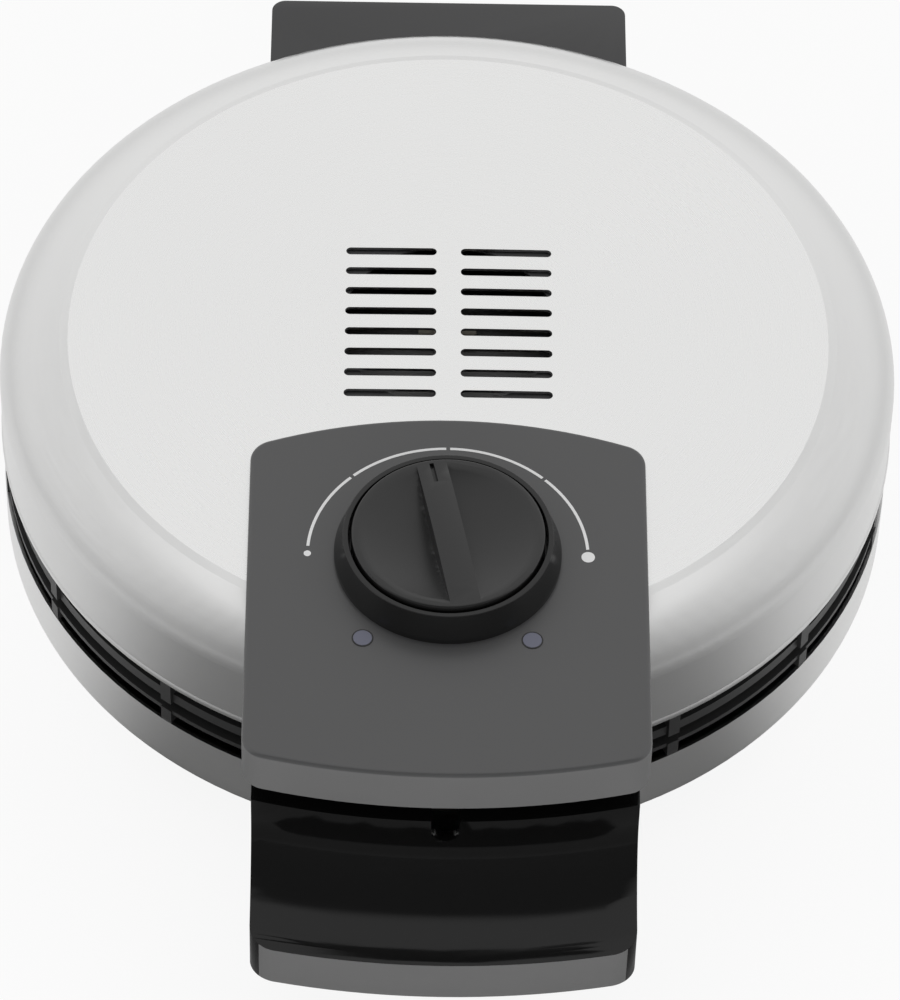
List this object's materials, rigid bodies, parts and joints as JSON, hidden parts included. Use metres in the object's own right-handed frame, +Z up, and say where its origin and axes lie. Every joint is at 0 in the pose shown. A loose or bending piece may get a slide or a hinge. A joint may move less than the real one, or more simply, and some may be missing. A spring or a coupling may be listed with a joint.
{
  "type": "heart waffle maker",
  "caption": "Round hinged waffle maker with a domed steel lid, heart-shaped baking pockets, a control panel with turning knob, and front handles.",
  "frame": {"origin": "middle of the footprint at the height of the table", "axes": "+Z up, +Y towards the rear hinge, +X to the right when seen from the handle"},
  "size_m": [0.215, 0.284, 0.0863],
  "materials": {
    "brushed_steel": "brushed, satin",
    "bare_sheet": "mill finish sheet",
    "dark_sheet": "dark heat-resistant coat",
    "ring_plastic": "heat-resistant plastic",
    "nonstick_plate": "black non-stick coat on cast metal",
    "heater_tube": "heat-tinted tube",
    "ceramic": "white ceramic",
    "screw_steel": "zinc plated",
    "panel_plastic": "fine satin moulding",
    "cover_plastic": "plain moulding",
    "bezel_plastic": "black satin",
    "knob_plastic": "black satin",
    "lens": "bluish grey, unlit",
    "lamp_glass": "clear lamp",
    "circuit_board": "paper board",
    "thermostat_case": "plated case",
    "wire_sleeve": "silicone sleeve",
    "block_plastic": "fine satin moulding",
    "handle_plastic": "black gloss",
    "foot_rubber": "soft rubber"
  },
  "bodies": {
    "base": {"base_shell": "brushed_steel", "lower_ring": "ring_plastic", "lower_plate": "nonstick_plate", "lower_heater": "heater_tube", "lower_heater_ends": "ceramic", "lower_heat_shield": "bare_sheet", "lower_plate_screws": "screw_steel", "bottom_cover": "cover_plastic", "base_posts": "screw_steel", "bottom_screws": "screw_steel", "rubber_feet": "foot_rubber", "lower_handle": "handle_plastic", "handle_insert": "cover_plastic", "rear_block": "block_plastic", "left_hinge_pin": "screw_steel", "right_hinge_pin": "screw_steel", "link_sleeve": "wire_sleeve", "cord_gland": "foot_rubber", "terminal_block": "ceramic", "earth_tab": "bare_sheet", "lower_wiring": "wire_sleeve"},
    "lid": {"lid_shell": "brushed_steel", "vent_baffle": "dark_sheet", "upper_ring": "ring_plastic", "upper_plate": "nonstick_plate", "upper_heater": "heater_tube", "upper_heater_ends": "ceramic", "upper_heat_shield": "bare_sheet", "upper_plate_screws": "screw_steel", "lid_posts": "screw_steel", "control_panel": "panel_plastic", "panel_screws": "screw_steel", "panel_cover": "cover_plastic", "cover_screws": "screw_steel", "knob_bezel": "bezel_plastic", "power_lens": "lens", "ready_lens": "lens", "indicator_lamps": "lamp_glass", "indicator_board": "circuit_board", "thermostat": "thermostat_case", "thermostat_nut": "screw_steel", "thermostat_bracket": "bare_sheet", "heat_sensor": "thermostat_case", "thermal_fuse": "thermostat_case", "upper_wiring": "wire_sleeve", "lid_hinge_block": "block_plastic", "block_screws": "screw_steel"},
    "knob": {"knob": "knob_plastic", "knob_spindle": "screw_steel"}
  },
  "joints": [
    {"name": "lid_hinge", "type": "hinge", "parent": "base", "child": "lid", "pos_m": [0, 0.135, 0.037], "axis": [-1, 0, 0], "range_deg": [0, 95]},
    {"name": "knob_turn", "type": "hinge", "parent": "lid", "child": "knob", "pos_m": [0, -0.0555, 0.08], "axis": [0, 0, 1], "range_deg": [-104, 82]}
  ]
}
